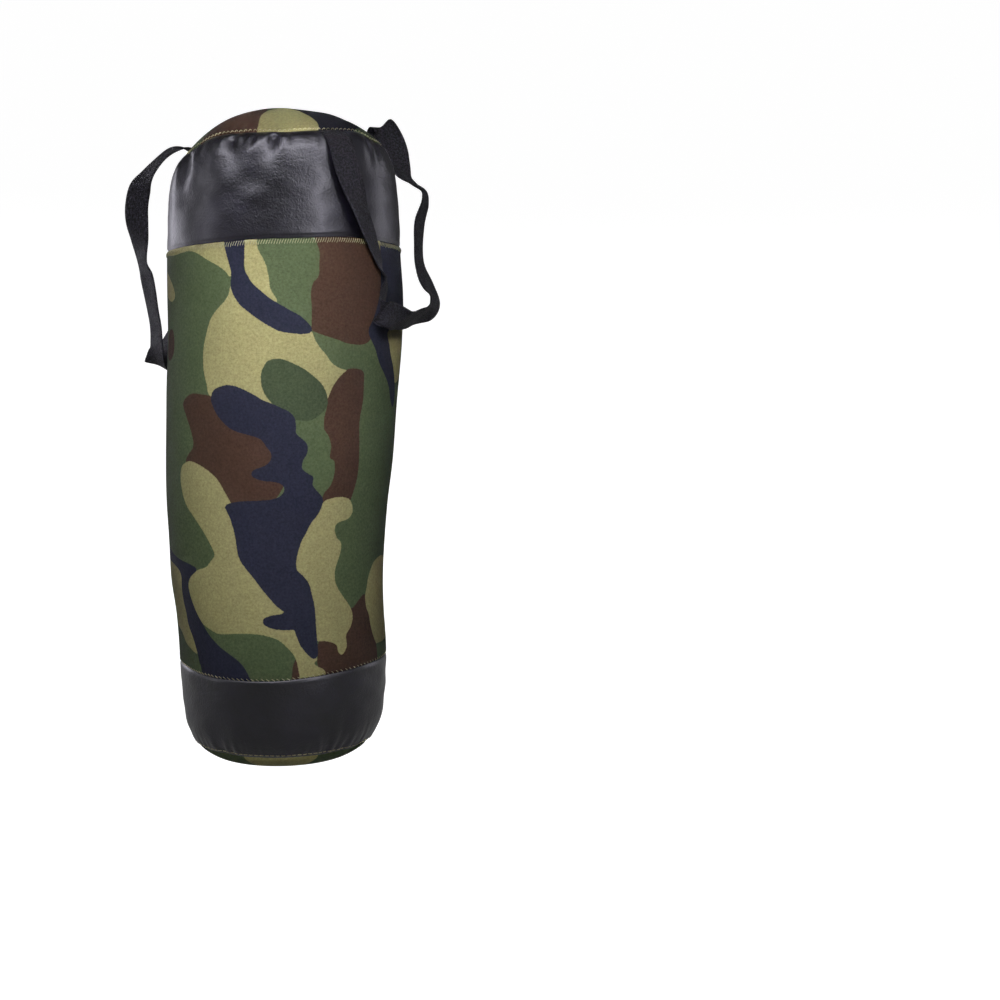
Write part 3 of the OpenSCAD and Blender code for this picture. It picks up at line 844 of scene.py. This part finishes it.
def webbing_path(rows):
    """Places along the webbing, and the directions across it and out of it there."""
    p = np.array(rows, float)
    ahead = np.vstack([p[1:], p[-1:]])
    after = np.vstack([p[2:], p[-1:], p[-1:]])
    before = np.vstack([p[:1], p[:-1]])
    path = [spline(before, p, ahead, after, k / WEB_STEPS)[:-1] for k in range(WEB_STEPS)]
    path = np.vstack([np.stack(path, 1).reshape(-1, 6), p[-1:]])
    centre, over = path[:, :3], path[:, 3:]
    along = np.gradient(centre, axis=0)
    along /= np.linalg.norm(along, axis=1)[:, None]
    over = over - np.sum(over * along, 1)[:, None] * along
    over /= np.linalg.norm(over, axis=1)[:, None]
    return centre, over, np.cross(along, over)


def webbing_loop(name, rows, seed):
    """One continuous length of webbing through the rows, its two ends inside the seam."""
    centre, over, out = webbing_path(rows)
    length = np.concatenate([[0], np.cumsum(np.linalg.norm(np.diff(centre, axis=0), axis=1))])
    rng = np.random.default_rng(seed)
    cup = 0.35 * np.sin(length / 23 + rng.uniform(0, 6))
    cup = cup + 0.25 * np.sin(length / 9 + rng.uniform(0, 6))
    w = np.linspace(-1, 1, WEB_ACROSS + 1)
    wide = w * WEB_W / 2
    thick = WEB_T / 2 * (1 - 0.55 * np.abs(w)**8)
    upper = np.stack([wide, thick], 1)
    lower = np.stack([wide, -thick], 1)[::-1]
    section = np.vstack([upper, lower])
    n = len(section)
    verts, lay = [], []
    for i in range(len(centre)):
        bow = cup[i] * ((section[:, 0] / (WEB_W / 2))**2 - 0.4)
        ring = (centre[i] + section[:, :1] * over[i] + (section[:, 1] + bow)[:, None] * out[i])
        verts.extend(ring * MM)
        lay.extend([(length[i] / 1000, s[0] / 1000, 0.01 if s[1] < 0 else 0) for s in section])
    faces = [turned_over(face) for face in ring_faces(len(centre), n)]
    last = (len(centre) - 1) * n
    for j in range(n // 2 - 1):
        faces.append((j, j + 1, n - 2 - j, n - 1 - j))
        faces.append((last + n - 1 - j, last + n - 2 - j, last + j + 1, last + j))
    obj = new_object(name, verts, faces, WEBBING)
    put(obj, "lay", lay, "FLOAT_VECTOR", "vector")
    return obj


left_web = webbing_loop("left_webbing", LEFT_ROWS, 5)
right_web = webbing_loop("right_webbing", RIGHT_ROWS, 6)


# ---- the stitching
THREAD_SIDES = 6


def thread_mesh(name, runs, radius, material):
    """Short lengths of thread, each a tube through its points (mm), with closed ends."""
    verts, faces = [], []
    ring_angles = 2 * math.pi * np.arange(THREAD_SIDES) / THREAD_SIDES
    for run in runs:
        along = np.gradient(run, axis=0)
        along /= np.linalg.norm(along, axis=1)[:, None]
        up = np.cross(along, [0.3, 0.2, 0.93])
        up /= np.linalg.norm(up, axis=1)[:, None]
        across = np.cross(along, up)
        first = len(verts)
        for c, a, b in zip(run, up, across):
            for angle in ring_angles:
                verts.append((c + radius * (math.cos(angle) * a + math.sin(angle) * b)) * MM)
        faces.extend(ring_faces(len(run), THREAD_SIDES, first))
        faces.append(tuple(reversed(range(first, first + THREAD_SIDES))))
        faces.append(tuple(range(len(verts) - THREAD_SIDES, len(verts))))
    return new_object(name, verts, faces, material)


def stitch_run(surface, az0, az1, v0, v1, proud, points=5):
    """A stitch from one place to another on a surface, rising out of it and back in."""
    t = np.linspace(0, 1, points)
    rise = proud * np.sin(math.pi * t)**0.7 - 0.25
    return surface(az0 + (az1 - az0) * t, v0 + (v1 - v0) * t, rise)


def overlock(n, seam, drop):
    """Slanted stitches all round, from an uneven line below the seam up to it."""
    runs = []
    rng = np.random.default_rng(31)
    step_az = 360 / n
    for i in range(n):
        az = -180 + 360 * (i + 0.5) / n
        start = seam - drop + rng.uniform(-0.3, 0.3)
        runs.append(stitch_run(side, az, az + step_az * 0.9, start, seam - 0.2, 0.7, 6))
    return runs


def row_of(n, surface, v0, v1, share, proud, seed):
    runs = []
    rng = np.random.default_rng(seed)
    step_az = 360 / n
    for i in range(n):
        az = -180 + step_az * (i + 0.5) + rng.uniform(-0.06, 0.06) * step_az
        runs.append(stitch_run(surface, az, az + step_az * share, v0, v1, proud))
    return runs


over_threads = thread_mesh("overlock_thread", overlock(300, UPPER_Z, 3.6), 0.27, OLIVE_THREAD)
low_threads = thread_mesh("lower_seam_thread",
                          row_of(132, side, LOWER_Z + 1.5, LOWER_Z - 0.1, 0.62, 0.75, 32),
                          0.28, PALE_THREAD)
rim = 1 - 1.7 / TOP_R
dome_threads = thread_mesh("dome_thread",
                           row_of(DOME_STITCHES, dome, rim, rim, 0.66, 0.6, 33), 0.27, PALE_THREAD)
base_threads = thread_mesh("base_thread",
                           row_of(108, side, BASE_Z + 2.2, BASE_Z + 2.2, 0.7, 0.7, 34),
                           0.34, PALE_THREAD)
back_runs = []
for z in np.arange(16, 416, 3.4):
    if min(abs(z - UPPER_Z), abs(z - LOWER_Z)) > 5:
        back_runs.append(stitch_run(side, 180.0, 180.0, z, z + 2.4, 0.75))
back_threads = thread_mesh("back_seam_thread", back_runs, 0.34, BLACK_THREAD)


# ---- hang each piece on the bag and hide the frame part that it stands for
COVERS = [
    (top_band, "top_band", "black_vinyl", (0.505, 0.086), None),
    (body, "body_panel", "camo_cloth", (0.505, 0.305), None),
    (bottom_band, "bottom_band", "black_vinyl", (0.465, 0.078), None),
    (dome_panel, "top_panel", "camo_cloth", (0.156, 0.156), math.pi * 0.078**2),
    (base_panel, "bottom_panel", "camo_cloth", (0.142, 0.142), math.pi * 0.071**2),
]
for piece, node, slot, flat, area in COVERS:
    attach(piece, "bag")
    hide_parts(node)

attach(stuffing, "bag")
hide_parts("filling")

THREADS = [(over_threads, "overlock_stitches", "pale_thread"),
           (low_threads, "lower_seam_stitches", "pale_thread"),
           (dome_threads, "dome_stitches", "pale_thread"),
           (base_threads, "base_stitches", "pale_thread"),
           (back_threads, "back_seam_stitches", "black_thread")]
for piece, node, slot in THREADS:
    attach(piece, "bag")
    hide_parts(node)

# Flat length, the way each loop leaves its seam, and how far along that way a bend would reach; here
# each loop is only fixed in place and its frame parts hidden.
LOOPS = [
    (left_web, "left_loop", ("left_strap", "left_strap_ends"), 0.40, (-0.62, 0.35, -0.70), 7),
    (right_web, "right_loop", ("right_strap", "right_strap_ends"), 0.44, (0.96, -0.25, -0.08), 6),
]
for piece, loop, nodes, length, outward, reach in LOOPS:
    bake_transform(piece)
    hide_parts(*nodes)


# ---- floor, light and camera
def floor_material():
    """Glows for the camera and, more weakly, in the vinyl, but does not light the cloth."""
    net = Net("floor")
    tone = net.noise(net.place, 3.0, 2.0)
    ray = net.node("LightPath").outputs
    seen_in_vinyl = net.step(net.parts_of(net.place)["Z"], 0.0, 0.9, 0.25, 0.05)
    not_diffuse = net.math("SUBTRACT", 1.0, ray["Is Diffuse Ray"])
    glow = net.plus(net.times(seen_in_vinyl, not_diffuse),
                    net.times(ray["Is Camera Ray"], 0.94))
    return net.set(Base_Color=net.mix(tone, (0.20, 0.20, 0.20, 1), (0.24, 0.24, 0.24, 1)),
                   Emission_Color=(1, 1, 1, 1), Emission_Strength=glow,
                   Roughness=0.9, Specular_IOR_Level=0.1)


def backdrop():
    """A pale round floor that curves up into a wall all round the bag."""
    flat_r, bend_r, tall, sectors = 2.8, 1.0, 5.0, 64
    profile = [(0.7, 0.0), (flat_r, 0.0)]
    profile += [(flat_r + bend_r * math.sin(a), bend_r * (1 - math.cos(a)))
                for a in np.linspace(0.1, math.pi / 2, 16)]
    profile.append((flat_r + bend_r, tall))
    angles = 2 * math.pi * np.arange(sectors) / sectors
    verts = [(r * math.cos(a), r * math.sin(a), z) for r, z in profile for a in angles]
    faces = [tuple(range(sectors))]
    faces += [turned_over(face) for face in ring_faces(len(profile), sectors)]
    obj = new_object("backdrop", np.array(verts), faces, floor_material())
    obj.data.materials[0].cycles.emission_sampling = "NONE"
    return obj


backdrop()


SHINE_COLOUR = (0.90, 0.88, 1.0)


def softbox(name, place, aim, wide, high, watts, spread=180, only_shine=False):
    """An area light; one kind lights the cloth and the other only shines in the vinyl."""
    light = bpy.data.lights.new(name, "AREA")
    light.shape = "RECTANGLE"
    light.size, light.size_y, light.energy = wide, high, watts
    light.spread = math.radians(spread)
    obj = bpy.data.objects.new(name, light)
    SCENE.collection.objects.link(obj)
    obj.location = place
    obj.rotation_euler = (Vector(aim) - Vector(place)).to_track_quat("-Z", "Y").to_euler()
    obj.visible_diffuse = not only_shine
    obj.visible_glossy = only_shine
    if only_shine:
        light.color = SHINE_COLOUR
    return obj


AIM = (0, 0, 0.28)
TOP_AIM = (0, -0.07, 0.37)
KEY_SPREAD = 17
softbox("key", (-0.06, -1.20, 0.60), (0, -0.07, 0.338), 0.12, 0.24, 0.175, KEY_SPREAD)
for part, height, watts in (("dome", 0.44, 0.05), ("middle", 0.175, 0.040), ("low", 0.065, 0.040)):
    place = (-0.06, -1.20, 0.25 + height)
    softbox(part + "_key", place, (0, -0.07, height), 0.12, 0.14, watts, KEY_SPREAD)
softbox("back", (0.3, 1.6, 0.7), AIM, 1.2, 1.2, 7).visible_camera = False
softbox("fill", (0.0, -1.5, 0.4), AIM, 0.5, 0.6, 0.35)
softbox("top", (0.1, 0.5, 1.5), AIM, 1.0, 1.0, 0.22)
softbox("band_shine", (-0.10, -0.85, 1.25), TOP_AIM, 2.2, 0.17, 24, only_shine=True)
softbox("left_shine", (-1.25, -0.15, 0.45), AIM, 0.24, 0.9, 2.2, only_shine=True)
softbox("left_rim", (-0.95, 0.85, 0.45), AIM, 0.5, 0.9, 5.0, only_shine=True)
softbox("right_shine", (0.64, -1.02, 0.55), AIM, 0.18, 0.5, 4.5, only_shine=True)
softbox("right_rim", (1.15, 0.35, 0.45), AIM, 0.3, 0.9, 2.4, only_shine=True)

world = bpy.data.worlds.new("studio")
world.use_nodes = True
background = world.node_tree.nodes["Background"].inputs
background["Color"].default_value = (1, 1, 1, 1)
background["Strength"].default_value = 0.02
SCENE.world = world
SCENE.view_settings.view_transform = "Standard"

# In mm, and the way the camera looks.
CAMERA_DISTANCE, CAMERA_HEIGHT = 1037.0, 261.0
PAN, PITCH, ROLL = (math.radians(a) for a in (8.492, 4.407, 0.657))
ahead = Vector((math.sin(PAN) * math.cos(PITCH), math.cos(PAN) * math.cos(PITCH),
                -math.sin(PITCH)))
right = Vector((math.cos(PAN), -math.sin(PAN), 0))
up = right.cross(ahead)
image_right = right * math.cos(ROLL) + up * math.sin(ROLL)
image_up = up * math.cos(ROLL) - right * math.sin(ROLL)
camera_data = bpy.data.cameras.new("camera")
camera_data.sensor_width = 36.0
camera_data.lens = 52.24
camera_data.clip_start = 0.01
camera = bpy.data.objects.new("camera", camera_data)
SCENE.collection.objects.link(camera)
rotation = Matrix((image_right, image_up, -ahead)).transposed().to_4x4()
camera.matrix_world = (Matrix.Translation(Vector((0, -CAMERA_DISTANCE, CAMERA_HEIGHT)) * MM)
                       @ rotation)
SCENE.camera = camera

bpy.context.view_layer.update()


def plain(bounds):
    return [[float(v) for v in corner] for corner in bounds]
